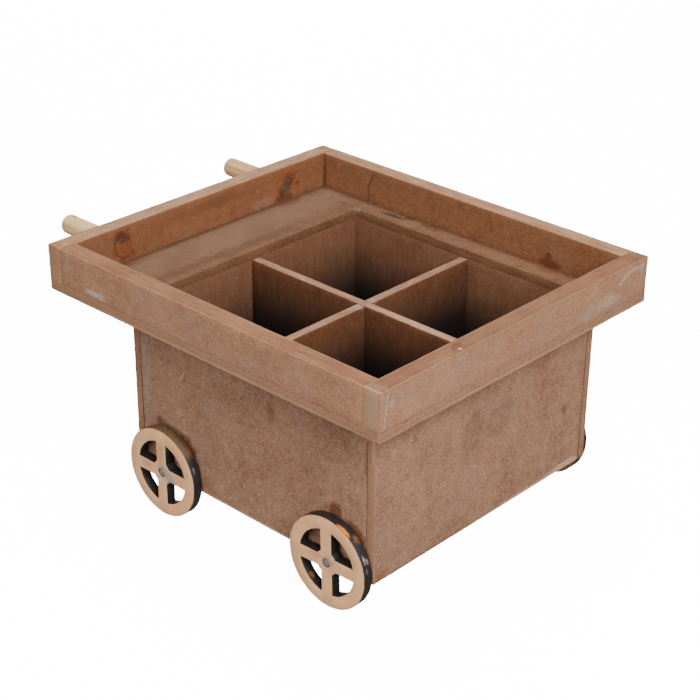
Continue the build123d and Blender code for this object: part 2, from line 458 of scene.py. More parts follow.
tones = {
    "rim": {
        "dark": paint(126, 84, 58), "light": paint(178, 132, 102), "fibre": paint(214, 178, 148),
        "speck": paint(96, 62, 42), "edge": paint(146, 98, 68), "sawnDark": paint(104, 65, 38),
        "sawnLight": paint(143, 98, 63), "sawnStrength": 0.9, "edgeStrength": 0.12,
        "dust": paint(146, 122, 106),
    },
    "floor": {
        "dark": paint(72, 46, 29), "light": paint(122, 84, 56), "fibre": paint(156, 118, 88),
        "speck": paint(56, 36, 24), "edge": paint(96, 64, 42), "sawnDark": paint(82, 52, 34),
        "sawnLight": paint(120, 82, 56), "sawnStrength": 0.85, "edgeStrength": 0.2,
        "dust": paint(112, 92, 76),
    },
    "wall": {
        "dark": paint(112, 74, 52), "light": paint(174, 132, 105), "fibre": paint(216, 182, 152),
        "speck": paint(78, 50, 36), "edge": paint(140, 94, 66), "sawnDark": paint(122, 82, 58),
        "sawnLight": paint(166, 124, 96), "sawnStrength": 0.85, "edgeStrength": 0.1,
        # painted shade: the colour the compartments darken to, and the darker tint of the walls' inner sides
        "paintedShadeColour": paint(9, 4, 2), "innerShadeTint": paint(90, 50, 22), "dust": paint(140, 118, 102),
    },
    # painted shade: the dividers' broad faces are coloured much darker than the walls, for the shade inside
    # the compartments
    "divider": {
        "dark": paint(70, 39, 21), "light": paint(114, 71, 42), "fibre": paint(140, 95, 62),
        "speck": paint(52, 30, 18), "edge": paint(112, 74, 50), "sawnDark": paint(122, 88, 64),
        "sawnLight": paint(176, 138, 110), "sawnStrength": 0.9, "edgeStrength": 0.15,
        "paintedShadeColour": paint(10, 5, 3), "dust": paint(100, 72, 50),
    },
}

# the left and rear rims show their shaded inner faces
tones["farRim"] = {
    **tones["rim"], "dark": paint(98, 58, 33), "light": paint(140, 92, 60),
    "fibre": paint(164, 116, 82), "sawnDark": paint(130, 90, 61), "sawnLight": paint(176, 134, 98),
    "dust": paint(118, 84, 62),
}

# millimetres, except the scale and the bias
edgeShape = {
    "softness": {"thick_board": 0.14, "thin_board": 0.09}, "segments": 3, "wearDepth": 0.05, "wearReach": 1.2,
    "wearScale": 260, "wearBias": 0.25, "step": 2.2,
    "rimReach": 0.13,    # how far the side rims close up on the end rims
    "wallReach": 0.08,   # and how far the walls close up on each other
}
holeLook = {
    "dowelCell": 4.2,    # half the square cell that a dowel's hole is cut in
    "dowelSlack": 0.05, "pinCell": 2.2,
    "pinHole": 0.83,     # radius
    "firstInset": 0.3, "sideCuts": 7,
    "dividerSlack": 0.1,
}
seeds = {"rims": 1, "trayFloor": 11, "walls": 21, "boxFloor": 29, "dividerLong": 31, "dividerCross": 32}


def finishBoard(name, shape, low, high, tone, marks, seed, slotName="thin_board"):
    cutAlong(shape, edgeShape["step"] * mm)
    softness = edgeShape["softness"][slotName] * mm
    roundOff(shape, sharpEdges(shape), softness, edgeShape["segments"])
    wearEdges(shape, low, high, seed)
    material = fibreboard(name + "Board", low, high, tone, marks, seed)
    return makePiece(name + "_board", shape, [material], stands=(name,))


rimMarks = {
    "rim_front": [
        spot((79, 57.3, 78.8), (1, 1.2, 1.6), "white", 0.4, gloss=0.45),
        spot((79, 53.4, 79.6), (1, 3.6, 0.6), "white", 0.4, turn=(-3, 0, 0), gloss=0.45),
        spot((79, 49, 79), (1, 1.6, 1), "white", 0.35),
        spot((79, 46.6, 77.4), (1, 2.4, 0.7), "white", 0.4, turn=(35, 0, 0)),
        spot((79, 40.5, 73.4), (1, 4.6, 2), "white", 0.4, soft=0.6),
        spot((79, 31, 72.4), (1, 7, 2.2), "grey", 0.5, soft=0.6),
        spot((79, 20, 71.4), (1, 10, 0.9), "grey", 0.35),
        spot((79, -57.6, 75), (1, 0.45, 5.6), "white", 0.42, turn=(-7, 0, 0), gloss=0.45),
        spot((79, -55, 77), (1, 1.2, 1.1), "white", 0.4),
        spot((79, -50.3, 76.9), (1, 2, 2.4), "grey", 0.35, soft=0.6),
        spot((79, -29.6, 77.2), (1, 7, 1.4), "grey", 0.28, turn=(6, 0, 0), soft=0.7),
        spot((77.4, -26.4, 81.65), (0.6, 0.8, 1), "yellow", 0.95, gloss=0.35),
        spot((75.4, -25.6, 81.65), (1.3, 2, 1), "brown", 0.5),
        spot((76.4, -27.6, 81.65), (0.5, 0.5, 1), "darkBrown", 0.7),
        spot((76, 2, 81.65), (6, 70, 1), "heart", 0.24, soft=0.6),
        spot((76, -57.5, 81.65), (3.2, 1.2, 1), "grey", 0.3, soft=0.6),
        spot((76, -60, 75.6), (6, 1.2, 9), "rimFace", 0.85),
        spot((76, -60, 75.6), (6, 1.2, 9), "pale", 0.25),
        spot((76.6, -60, 75.4), (1.5, 1, 6), "grey", 0.4, soft=0.6),
        spot((78.9, -59.8, 75.4), (0.35, 0.5, 6.4), "rust", 0.5),
    ],
    "rim_rear": [
        spot((-54, -60, 75.6), (6, 1.2, 9), "rimFace", 0.6),
        spot((-54, 60, 75.6), (6, 1.2, 9), "heart", 0.5),
        spot((-51, -36.3, 75.4), (1, 3.6, 5.2), "brown", 0.8, tide=0.35, ragged=0.6),
        spot((-51, -36.4, 78.6), (1, 2.2, 1.7), "darkBrown", 0.5),
        spot((-51, -34.2, 71.2), (1, 3.2, 1.3), "brown", 0.7),
        spot((-51, -32.2, 72.6), (1, 0.5, 2.6), "brown", 0.6, turn=(24, 0, 0)),
        spot((-51, 35.2, 75.6), (1, 4.2, 5.6), "amber", 0.75, ragged=1.2),
        spot((-51, 37.6, 77.2), (1, 2.2, 2.4), "brown", 0.55, ragged=1.2),
        spot((-51, 34.6, 70.8), (1, 3.4, 1.7), "darkBrown", 0.6, ragged=1.2),
        spot((-51, 41.1, 74.6), (1, 1, 0.9), "brown", 0.75),
        spot((-51, 41, 78.6), (1, 1.4, 0.6), "brown", 0.45),
        spot((-51, 2, 78), (1, 20, 1.7), "brown", 0.3, soft=0.7),
        spot((-51, 24, 72), (1, 5, 1.6), "grey", 0.25, soft=0.7),
        spot((-55, -58.6, 81.65), (3.2, 2.2, 1), "rust", 0.45),
    ],
    "rim_left": [
        spot((47.4, 54, 71), (3.9, 1, 1.5), "brown", 0.92, ragged=0.7),
        spot((46.9, 54, 73.4), (1.3, 1, 1.4), "brown", 0.9),
        spot((-28.6, 54, 77.8), (0.35, 1, 3.4), "brown", 0.7, turn=(0, 22, 0), soft=0.5),
        spot((-29.7, 54, 74), (0.4, 1, 2.6), "brown", 0.7, turn=(0, -6, 0), soft=0.5),
        spot((-28, 54, 71), (2, 1, 1.8), "brown", 0.5, tide=0.6),
        spot((-50.2, 54, 75), (0.5, 1, 7), "darkBrown", 0.5),
    ],
    "rim_right": [
        spot((-36, -60, 71.8), (4.6, 1, 1), "white", 0.8, turn=(0, -3, 0), gloss=0.35, ragged=0.8),
        spot((-32.6, -60, 71.1), (2.6, 1, 0.6), "white", 0.55),
        spot((-55, -60, 76), (1.6, 1, 4), "grey", 0.25, soft=0.7),
        spot((6, -60, 70.6), (22, 1, 0.5), "grey", 0.4),
        spot((40, -60, 73.4), (16, 1, 0.7), "grey", 0.25, soft=0.6),
        spot((-48, -60, 78), (1.4, 1, 4.2), "grey", 0.3, turn=(0, 8, 0), soft=0.6),
    ],
}


def buildRims():
    for seed, name in enumerate(("rim_front", "rim_rear", "rim_left", "rim_right")):
        low, high = cubesOf(name)
        if name == "rim_rear":
            centres = []
            for side in ("right", "left"):
                nearEnd, farEnd = cubesOf("handle_" + side)
                centres.append((nearEnd + farEnd) / 2)
            radius = (farEnd.z - nearEnd.z) / 2 + holeLook["dowelSlack"] * mm
            cell = holeLook["dowelCell"] * mm
            across = [low.y]
            for centre in centres:
                across += [centre.y - cell, centre.y + cell]
            across.append(high.y)
            upward = [low.z, centres[0].z - cell, centres[0].z + cell, high.z]
            holes = [(1, 1, centres[0], radius), (3, 1, centres[1], radius)]
            shape = cutBoard(low, high, 0, across, upward, (), holes)
        else:
            if name != "rim_front":
                # the side rims close up on the end rims
                low.x -= edgeShape["rimReach"] * mm
                high.x += edgeShape["rimReach"] * mm
            shape = plainBoard(low, high)
        tone = tones["farRim"] if name in ("rim_left", "rim_rear") else tones["rim"]
        finishBoard(name, shape, low, high, tone, rimMarks[name], seed + seeds["rims"], "thick_board")
    print("rims built")


trayMarks = [
    spot((-27.2, 44.9, 69.65), (0.5, 0.5, 1), "soot", 0.85, ragged=0.5),
    spot((-28, 46.6, 69.65), (1.3, 0.9, 1), "grey", 0.45),
    spot((-43, 0, 69.65), (8, 70, 1), "dusty", 0.95, soft=0.6),
    spot((-44, 20, 69.65), (6, 18, 1), "dusty", 0.4, soft=0.7),
    spot((-33, -8, 69.65), (2, 34, 1), "heart", 0.6, ragged=1.8),
    spot((-40, 12, 69.65), (3.4, 8, 1), "heart", 0.3, turn=(0, 0, 30), soft=0.8),
    spot((-42, -20, 69.65), (3, 9, 1), "heart", 0.3, turn=(0, 0, 24), soft=0.8),
    spot((-36, -30, 69.65), (0.5, 0.5, 1), "soot", 0.6),
    spot((20, 50.8, 69.65), (56, 3.4, 1), "rimFace", 0.2, soft=0.5),
    spot((-16, 51, 69.65), (4.6, 1, 1), "soot", 0.8, turn=(0, 0, 4), ragged=2.2),
    spot((-9.8, 53, 69.65), (1.6, 0.7, 1), "soot", 0.5, ragged=1.6),
    spot((0, 51.7, 69.65), (3.8, 1.3, 1), "soot", 0.75, turn=(0, 0, -3), ragged=2, tide=0.8),
    spot((48, 52, 69.65), (4, 2, 1), "brown", 0.4),
    spot((-50.2, 0, 69.65), (0.7, 60, 1), "darkBrown", 0.45, soft=0.5),
    spot((12, 53.4, 69.65), (66, 0.6, 1), "darkBrown", 0.4, soft=0.5),
    spot((-49, -36, 69.65), (2.2, 5, 1), "brown", 0.4, soft=0.5),
    spot((-49, 35.5, 69.65), (2.4, 4.6, 1), "brown", 0.5, soft=0.5),
    spot((11, -60, 68.1), (120, 1.2, 2.4), "rimFace", 0.9, soft=0.2),
    spot((79, 0, 68.1), (1.2, 110, 2.4), "rimFace", 0.9, soft=0.2),
    spot((20, -60, 67.2), (60, 1, 0.5), "pale", 0.4, soft=0.6),
    spot((79, 0, 67.2), (1, 60, 0.5), "pale", 0.35, soft=0.6),
]


def buildTrayFloor():
    low, high = cubesOf("tray_floor")
    rearEdge = cubesOf("wall_rear")[1].x
    frontEdge = cubesOf("wall_front")[0].x
    sideEdge = cubesOf("wall_left")[0].y
    along = [low.x, rearEdge, frontEdge, high.x]
    across = [low.y, -sideEdge, sideEdge, high.y]
    shape = cutBoard(low, high, 2, along, across, [(1, 1)])
    finishBoard("tray_floor", shape, low, high, tones["floor"], trayMarks, seeds["trayFloor"])
    print("tray floor built")


# painted shade: heights in millimetres between which the compartments' colour darkens, and how much of the
# colour is left below
paintedShadeDepths = {"wall": (36, 66, 0.02), "floor": (36, 66, 0.4), "divider": (44, 69, 0.02)}
wallMarks = {
    "wall_right": [
        spot((28, -49.5, 52.6), (1.4, 1, 3.4), "brown", 0.42, soft=0.6),
        spot((65.2, -49.5, 51), (0.6, 1, 5), "soot", 0.45, soft=0.6),
        spot((60.5, -49.5, 42), (0.9, 1, 22), "grey", 0.15, soft=0.7),
        spot((-26.6, -49.5, 46), (1.9, 1, 15), "grey", 0.5, soft=0.6),
        spot((6, -49.5, 58), (1.4, 1, 5), "grey", 0.35, soft=0.7),
        spot((-19.6, -49.5, 29.4), (3.2, 1, 2.2), "darkBrown", 0.6, turn=(0, 12, 0), soft=0.4),
        spot((-13.4, -49.5, 28.6), (4.6, 1, 2.2), "darkBrown", 0.6, turn=(0, 10, 0), soft=0.4),
        spot((-8, -49.5, 26), (4, 1, 2.8), "brown", 0.9, turn=(0, 48, 0), soft=0.4),
        spot((-4.6, -49.5, 20.4), (1.6, 1, 4.6), "brown", 0.7, turn=(0, -8, 0), soft=0.4),
        spot((54, -49.5, 30.4), (2.4, 1, 3), "brown", 0.8, soft=0.4),
        spot((61.4, -49.5, 27), (4.6, 1, 2.4), "brown", 0.8, turn=(0, 38, 0), soft=0.4),
        spot((44, -49.5, 40), (5, 1, 4), "soot", 0.14, soft=0.7),
        spot((52, -49.5, 56), (3.4, 1, 3), "soot", 0.12, soft=0.7),
        spot((-9.6, -49.5, 49.8), (0.22, 1, 2.4), "pale", 0.8, turn=(0, 30, 0), ragged=0.2),
        spot((20, -49.5, 12.5), (70, 1, 0.6), "pale", 0.4),
    ],
    "wall_front": [
        spot((67, -49.5, 38), (4, 0.5, 50), "rimFace", 0.55, soft=0.3),
        spot((67.8, -49.5, 55), (0.5, 0.6, 4), "white", 0.4),
        spot((68.5, -47.2, 18.2), (1, 0.7, 0.9), "lavender", 0.5),
        spot((68.5, -39.5, 22.5), (1, 2.6, 3), "grey", 0.3, soft=0.6),
        spot((68.5, -42, 52.6), (1, 0.7, 0.6), "yellow", 0.8, ragged=1.3, gloss=0.5),
        spot((68.5, -28, 55.8), (1, 0.4, 0.7), "yellow", 0.75, ragged=1.3, gloss=0.5),
        spot((68.5, -25.2, 58.4), (1, 0.8, 0.45), "yellow", 0.7, ragged=1.3, gloss=0.5),
        spot((68.5, -22.8, 59), (1, 0.4, 0.8), "yellow", 0.7, ragged=1.3, gloss=0.5),
        spot((68.5, -16, 57.4), (1, 0.6, 0.4), "yellow", 0.7, ragged=1.3, gloss=0.5),
        spot((68.5, -15, 56), (1, 0.5, 0.5), "yellow", 0.6, ragged=1.3),
        spot((68.5, -30, 47), (1, 5, 3), "soot", 0.17, turn=(35, 0, 0), soft=0.6),
        spot((68.5, -9, 42.6), (1, 4, 5), "soot", 0.17, turn=(-20, 0, 0), soft=0.6),
        spot((68.5, 4, 43.4), (1, 5, 4.4), "soot", 0.3, soft=0.6, tide=0.7),
        spot((68.5, -19, 44), (1, 2.4, 5), "soot", 0.17, turn=(12, 0, 0), soft=0.6),
        spot((68.5, -6, 50), (1, 3, 2.4), "soot", 0.16, soft=0.7),
        spot((68.5, 37, 34), (1, 1.3, 1.8), "soot", 0.42, turn=(20, 0, 0), soft=0.5),
        spot((68.5, 27, 12.6), (1, 20, 0.8), "pale", 0.75, soft=0.3),
        spot((68.5, 40, 12.8), (1, 10, 1.5), "pale", 0.8, soft=0.3),
        spot((68.5, -30, 12.5), (1, 22, 0.5), "rust", 0.5),
        spot((68.5, -46.6, 14), (1, 3, 1.6), "rust", 0.5),
    ],
    "wall_left": [
        spot((68.5, 46.4, 40), (1, 0.35, 30), "yellow", 0.3),
    ],
    "wall_rear": [
        spot((-30, -49.5, 40), (3, 0.5, 40), "rust", 0.25, soft=0.4),
        spot((-31.5, -12, 34), (1, 9, 5), "soot", 0.14, soft=0.7),
        spot((-31.5, 20, 60), (1, 14, 1.2), "grey", 0.4, soft=0.5),
    ],
}


def buildWalls():
    facing = {"wall_left": (1, 1), "wall_right": (1, -1), "wall_front": (0, 1), "wall_rear": (0, -1)}
    for seed, (name, (axis, sign)) in enumerate(facing.items()):
        low, high = cubesOf(name)
        innerPlane = min(edge[axis] * sign / mm for edge in (low, high))
        if name in ("wall_left", "wall_right"):
            side = name.split("_")[1]
            hubs = []
            for end in ("rear", "front"):
                nearEnd, farEnd = cubesOf("axle_pin_" + end + "_" + side)
                hubs.append((nearEnd + farEnd) / 2)
            reach = holeLook["pinCell"] * mm
            if side == "right":
                # this wall stands between the end walls and closes up on them
                low.x -= edgeShape["wallReach"] * mm
                high.x += edgeShape["wallReach"] * mm
            along = [low.x, hubs[0].x - reach, hubs[0].x + reach, hubs[1].x - reach,
                     hubs[1].x + reach, high.x]
            upward = [low.z, hubs[0].z - reach, hubs[0].z + reach, high.z]
            pinHole = holeLook["pinHole"] * mm
            holes = [(1, 1, hubs[0], pinHole), (3, 1, hubs[1], pinHole)]
            shape = cutBoard(low, high, 1, along, upward, (), holes)
        else:
            high.y += edgeShape["wallReach"] * mm
            shape = plainBoard(low, high)
        # painted shade: each wall darkens towards the floor and takes a darker tint on its inner side
        tone = {**tones["wall"], "paintedShade": paintedShadeDepths["wall"], "innerSide": (axis, innerPlane, sign)}
        finishBoard(name, shape, low, high, tone, wallMarks[name], seed + seeds["walls"])
    low, high = cubesOf("box_floor")
    # painted shade: the box floor is darkened all over, keeping some of its grain
    tone = {**tones["wall"], "paintedShade": paintedShadeDepths["floor"]}
    floorBoard = fibreboard("boxFloorBoard", low, high, tone, (), seeds["boxFloor"])
    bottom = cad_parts["box_floor"]
    bottom.data.materials.clear()
    bottom.data.materials.append(floorBoard)
    print("box built")


dividerMarks = {
    "divider_long": [
        spot((15.6, -0.6, 66.65), (2.2, 1.4, 1), "grey", 0.3),
        spot((40, -0.6, 66.65), (16, 1.3, 1), "pale", 0.35, soft=0.5),
    ],
    "divider_cross": [
        spot((19.2, -3.6, 66.65), (1.5, 1.7, 1), "grey", 0.7),
        spot((19.2, 2.4, 66.65), (1.5, 1.7, 1), "grey", 0.6),
    ],
}


def buildDividers():
    longLow, longHigh = cubesOf("divider_long")
    crossLow, crossHigh = cubesOf("divider_cross")
    halfWay = (longLow.z + longHigh.z) / 2
    slot = holeLook["dividerSlack"] * mm
    # painted shade: the dividers darken towards the floor
    tone = {**tones["divider"], "paintedShade": paintedShadeDepths["divider"]}
    along = [longLow.x, crossLow.x - slot, crossHigh.x + slot, longHigh.x]
    shape = cutBoard(longLow, longHigh, 1, along, [longLow.z, halfWay, longHigh.z], [(1, 0)])
    finishBoard("divider_long", shape, longLow, longHigh, tone, dividerMarks["divider_long"],
                seeds["dividerLong"])
    across = [crossLow.y, longLow.y - slot, longHigh.y + slot, crossHigh.y]
    shape = cutBoard(crossLow, crossHigh, 0, across, [crossLow.z, halfWay, crossHigh.z], [(1, 1)])
    finishBoard("divider_cross", shape, crossLow, crossHigh, tone, dividerMarks["divider_cross"],
                seeds["dividerCross"])
    print("dividers built")


handleLook = {
    "sides": 48, "lengthCuts": 14, "endRound": 1.3, "endSegments": 6, "innerRound": 0.2,
    "wobble": 0.009375,                # how far the surface dips, as a part of the radius
    "dentAlong": 90, "dentAcross": 300,
    "heartShift": 4, "heartMiddle": 1.5,   # millimetres that the rings' middle moves from dowel to dowel
    "warp": (300, 3, 0.5), "warpStretch": (14, 1, 1), "warpTurns": 9,
    "streak": (2600, 3, 0.6), "streakStretch": (26, 1, 1),
    "pores": (5200, 2, 0.5), "poreStretch": (20, 1, 1),
    "ringScale": 5200, "lengthwise": 0.04, "endDepth": 1.4, "bump": 0.00006,
}
dowelTones = {"early": paint(226, 190, 136), "late": paint(182, 136, 84), "end": paint(196, 154, 102),
              "pore": paint(132, 88, 50)}


def dowelWood(name, low, high, seed, marks):
    look = handleLook
    finish = Finish(name)
    middle = (low + high) / 2
    heart = middle.z + (seed - look["heartMiddle"]) * look["heartShift"] * mm
    local = finish.placed(finish.here, (low.x, middle.y, heart))
    warp = finish.cloud(finish.placed(local, size=look["warpStretch"]), *look["warp"])
    flattened = finish.vector("MULTIPLY", local, (look["lengthwise"], 1, 1))
    radial = finish.vector("LENGTH", flattened, output="Value")
    rings = finish.sum("SINE", radial * look["ringScale"] + warp * look["warpTurns"])
    streak = finish.cloud(finish.placed(local, size=look["streakStretch"]), *look["streak"])
    level = rings * 0.16 + (streak - 0.5) * 1.5 + 0.45
    colour = finish.mix(finish.ease(level, 0.0, 1.0), dowelTones["early"], dowelTones["late"])
    pores = finish.cloud(finish.placed(local, size=look["poreStretch"]), *look["pores"])
    colour = finish.mix(finish.ease(pores, 0.58, 0.7) * 0.6, colour, dowelTones["pore"])
    # the sanded free end is a little darker
    endGrain = finish.ease(finish.axes(local)[0], 0.0, look["endDepth"] * mm, 1.0, 0.0)
    colour = finish.mix(endGrain * 0.5, colour, dowelTones["end"])
    roughness = 0.62 + (streak - 0.5) * 0.3
    colour, roughness = addMarks(finish, colour, roughness, marks)
    return finish.close(colour, roughness, streak * 0.5 + pores * 0.4, bumpDepth=look["bump"])


handleMarks = {
    "handle_right": [
        spot((-75.5, -35.4, 77.6), (1.4, 0.5, 0.5), "dull", 0.8),
        spot((-51, -35.5, 74.45), (1.4, 8, 8), "toast", 0.97),
        spot((-51, -35.5, 74.2), (1.4, 2.8, 2.4), "amber", 0.5),
        spot((-51, -35.8, 77), (1.4, 2.8, 1), "darkBrown", 0.6),
        spot((-51, -35.3, 74.2), (1.4, 1.7, 1.9), "darkBrown", 0.4, tide=0.9),
    ],
    "handle_left": [
        spot((-68, 35.5, 74.45), (24, 9, 9), "amber", 0.14),
        spot((-51, 35.5, 74.45), (1.4, 8, 8), "dull", 0.97),
        spot((-51, 36.6, 75.2), (1.4, 1.6, 1.2), "darkBrown", 0.4, ragged=1.4),
        spot((-51, 34.2, 73), (1.4, 1.4, 1.1), "darkBrown", 0.4, ragged=1.4),
        spot((-51, 33.4, 76.4), (1.4, 1, 1.6), "amber", 0.7, ragged=1.4),
    ],
}


def buildHandles():
    look = handleLook
    for seed, name in enumerate(("handle_left", "handle_right")):
        low, high = cubesOf(name)
        length = high.x - low.x
        radius = (high.z - low.z) / 2
        shape = bmesh.new()
        bmesh.ops.create_cone(
            shape, cap_ends=True, segments=look["sides"], radius1=radius, radius2=radius,
            depth=length)
        turnShape(shape, 90, "Y")
        middle = (low + high) / 2
        bmesh.ops.translate(shape, vec=middle, verts=shape.verts)
        for x, width, segments in ((low.x, look["endRound"], look["endSegments"]),
                                   (high.x, look["innerRound"], 1)):
            ring = [edge for edge in sharpEdges(shape, 60)
                    if all(abs(vert.co.x - x) < tiny for vert in edge.verts)]
            roundOff(shape, ring, width * mm, segments)
        lengthwise = [edge for edge in shape.edges
                      if abs(edge.verts[0].co.x - edge.verts[1].co.x) > length * 0.5]
        bmesh.ops.subdivide_edges(shape, edges=lengthwise, cuts=look["lengthCuts"], use_grid_fill=True)
        for vert in shape.verts:
            arm = Vector((0, vert.co.y - middle.y, vert.co.z - middle.z))
            across = arm * look["dentAcross"]
            dent = noise.noise(Vector((vert.co.x * look["dentAlong"], across.y, across.z + seed * 5)))
            vert.co -= arm * max(0.0, dent) * look["wobble"]
        wood = dowelWood(name + "Wood", low, high, seed, handleMarks[name])
        makePiece(name + "_dowel", shape, [wood], stands=(name,))
    print("handles built")


# millimetres: ring and spoke are widths, hub, head and bore are radii
wheelLook = {
    "segments": 120, "ring": 4.15, "hub": 4.0, "spoke": 4.2, "head": 1.45, "bore": 0.88,
    "headDepth": 1.0, "cornerRound": 0.7, "cornerSegments": 4, "edgeRound": 0.12, "edgeSegments": 2,
    "dent": 0.12, "dentScale": (420, 900, 420), "dentShift": 900,
    "rest": {"wheel_front_right": 2.0},  # degrees that a wheel rests turned
    "scorch": (14.1, 15.2), "scorchWander": 1.4, "scorchStrength": 0.5,
    "faceBroad": (150, 3, 0.6), "faceGrain": (1500, 3, 0.6), "faceFine": (2600, 2, 0.6),
    "grainTurn": 12, "grainStretch": (5, 1, 1), "wander": (900, 3, 0.6), "faceBump": 0.00006,
    "charSoot": (700, 4, 0.65), "charFine": (3000, 3, 0.6), "charSmear": (620, 3, 0.6),
    "smearStretch": (1, 3, 1), "charBump": 0.00012, "charSeed": 50,
}
wheelTones = {"face": paint(246, 190, 138), "faceDark": paint(222, 162, 110), "burn": paint(120, 76, 46),
              "char": paint(22, 20, 19), "charBrown": paint(74, 44, 28), "ash": paint(120, 114, 110)}


def shuffled(seed):
    return [random.Random(seed + i).uniform(-0.3, 0.3) for i in range(3)]


def wheelFaceWood(name, hub, seed, marks):
    look = wheelLook
    finish = Finish(name)
    inside = finish.placed(finish.here, shuffled(seed))
    broad = finish.cloud(inside, *look["faceBroad"])
    turned = finish.placed(inside, turn=(0, look["grainTurn"] * seed, 0), size=look["grainStretch"])
    grain = finish.cloud(turned, *look["faceGrain"])
    fine = finish.cloud(inside, *look["faceFine"])
    level = 0.5 + (broad - 0.5) * 1.2 + (grain - 0.5) * 0.8 + (fine - 0.5) * 0.5
    colour = finish.mix(finish.ease(level, 0.0, 1.0), wheelTones["faceDark"], wheelTones["face"])
    arm = finish.vector("MULTIPLY", finish.vector("SUBTRACT", finish.here, hub), (1, 0, 1))
    reach = finish.vector("LENGTH", arm, output="Value")
    wander = (finish.cloud(inside, *look["wander"]) - 0.5) * (look["scorchWander"] * mm)
    scorch = finish.ease(reach + wander, look["scorch"][0] * mm, look["scorch"][1] * mm)
    colour = finish.mix(scorch * look["scorchStrength"], colour, wheelTones["burn"])
    roughness = 0.7 + (fine - 0.5) * 0.2
    colour, roughness = addMarks(finish, colour, roughness, marks)
    return finish.close(colour, roughness, fine * 0.4 + grain * 0.5, bumpDepth=look["faceBump"])


def charredEdge(name, seed, marks):
    look = wheelLook
    finish = Finish(name)
    inside = finish.placed(finish.here, shuffled(seed + look["charSeed"]))
    soot = finish.cloud(inside, *look["charSoot"])
    fine = finish.cloud(inside, *look["charFine"])
    brown = finish.ease(soot, 0.52, 0.78) * 0.7
    colour = finish.mix(brown, wheelTones["char"], wheelTones["charBrown"])
    smear = finish.cloud(finish.placed(inside, size=look["smearStretch"]), *look["charSmear"])
    colour = finish.mix(finish.ease(smear, 0.66, 0.76) * 0.5, colour, wheelTones["ash"])
    roughness = 0.62 + (fine - 0.5) * 0.4
    colour, roughness = addMarks(finish, colour, roughness, marks)
    return finish.close(colour, roughness, fine * 0.7 + soot * 0.5, bumpDepth=look["charBump"])


def wheelShape(low, high, outward):
    # drawn flat in XZ, then thickened; the outer face ends up on the side away from the box
    hub = (low + high) / 2
    radius = (high.x - low.x) / 2
    look = wheelLook
    shape = bmesh.new()
    bmesh.ops.create_circle(shape, cap_ends=True, segments=look["segments"], radius=radius)
    turnShape(shape, 90, "X")
    # inset circles: the rim's inner edge, the hub and the recess for the pin's head
    centreFace = shape.faces[:][0]
    steps = (radius - look["ring"] * mm, look["hub"] * mm, look["head"] * mm)
    reached = radius
    for circle in steps:
        bmesh.ops.inset_individual(shape, faces=[centreFace], thickness=reached - circle,
                                   use_even_offset=False)
        for vert in centreFace.verts:
            vert.co = vert.co.normalized() * circle
        reached = circle
    half = look["spoke"] * mm / 2

    def spokeFaces():
        # what lies between the hub and the rim
        return [face for face in shape.faces if face is not centreFace
                and look["hub"] * mm < face.calc_center_median().length < steps[0]]

    # cut along both sides of each spoke and take out what lies between
    for axis in (Vector((1, 0, 0)), Vector((0, 0, 1))):
        for sign in (-1, 1):
            between = spokeFaces()
            geometry = set(between)
            for face in between:
                geometry.update(face.edges)
                geometry.update(face.verts)
            bmesh.ops.bisect_plane(
                shape, geom=list(geometry), dist=tiny / 10, plane_co=axis * sign * half, plane_no=axis)
    openings = []
    for face in spokeFaces():
        middle = face.calc_center_median()
        if abs(middle.x) > half and abs(middle.z) > half:
            openings.append(face)
    bmesh.ops.delete(shape, geom=openings, context="FACES")
    thicken(shape, (0, high.y - low.y, 0))
    bmesh.ops.translate(shape, vec=(0, -(high.y - low.y) / 2, 0), verts=shape.verts)
    bmesh.ops.recalc_face_normals(shape, faces=shape.faces[:])
    # rounded corners where the cutting beam turned
    corners = []
    for edge in sharpEdges(shape, 30):
        span = edge.verts[1].co - edge.verts[0].co
        if abs(span.y) > 0.9 * span.length:
            corners.append(edge)
    roundOff(shape, corners, look["cornerRound"] * mm, look["cornerSegments"])
    # the recess and the bore
    ends = {}
    for face in shape.faces:
        middle = face.calc_center_median()
        if middle.xz.length < 10 * tiny and abs(face.normal.y) > 0.9:
            ends["outer" if middle.y * outward > 0 else "inner"] = face
    sunk = bmesh.ops.extrude_discrete_faces(shape, faces=[ends["outer"]])["faces"][0]
    bmesh.ops.translate(shape, vec=(0, -outward * look["headDepth"] * mm, 0), verts=sunk.verts)
    rings = []
    for face in (sunk, ends["inner"]):
        bmesh.ops.inset_individual(shape, faces=[face],
                                   thickness=(look["head"] - look["bore"]) * mm)
        rings += face.edges[:]
    bmesh.ops.delete(shape, geom=[sunk, ends["inner"]], context="FACES_ONLY")
    bmesh.ops.bridge_loops(shape, edges=rings)
    bmesh.ops.remove_doubles(shape, verts=shape.verts, dist=tiny / 10)
    bmesh.ops.recalc_face_normals(shape, faces=shape.faces[:])
    # broad faces take the first finish, every cut face the second
    for face in shape.faces:
        face.material_index = 0 if abs(face.normal.y) > 0.9 else 1
    roundOff(shape, sharpEdges(shape, 60), look["edgeRound"] * mm, look["edgeSegments"], 1)
    for vert in shape.verts:
        scaled = Vector([part * scale for part, scale in zip(vert.co, look["dentScale"])])
        dent = noise.noise(scaled + hub * look["dentShift"])
        arm = Vector((vert.co.x, 0, vert.co.z))
        if arm.length > look["hub"] * mm:
            vert.co -= arm.normalized() * max(0.0, dent) * look["dent"] * mm
    bmesh.ops.translate(shape, vec=hub, verts=shape.verts)
    return shape


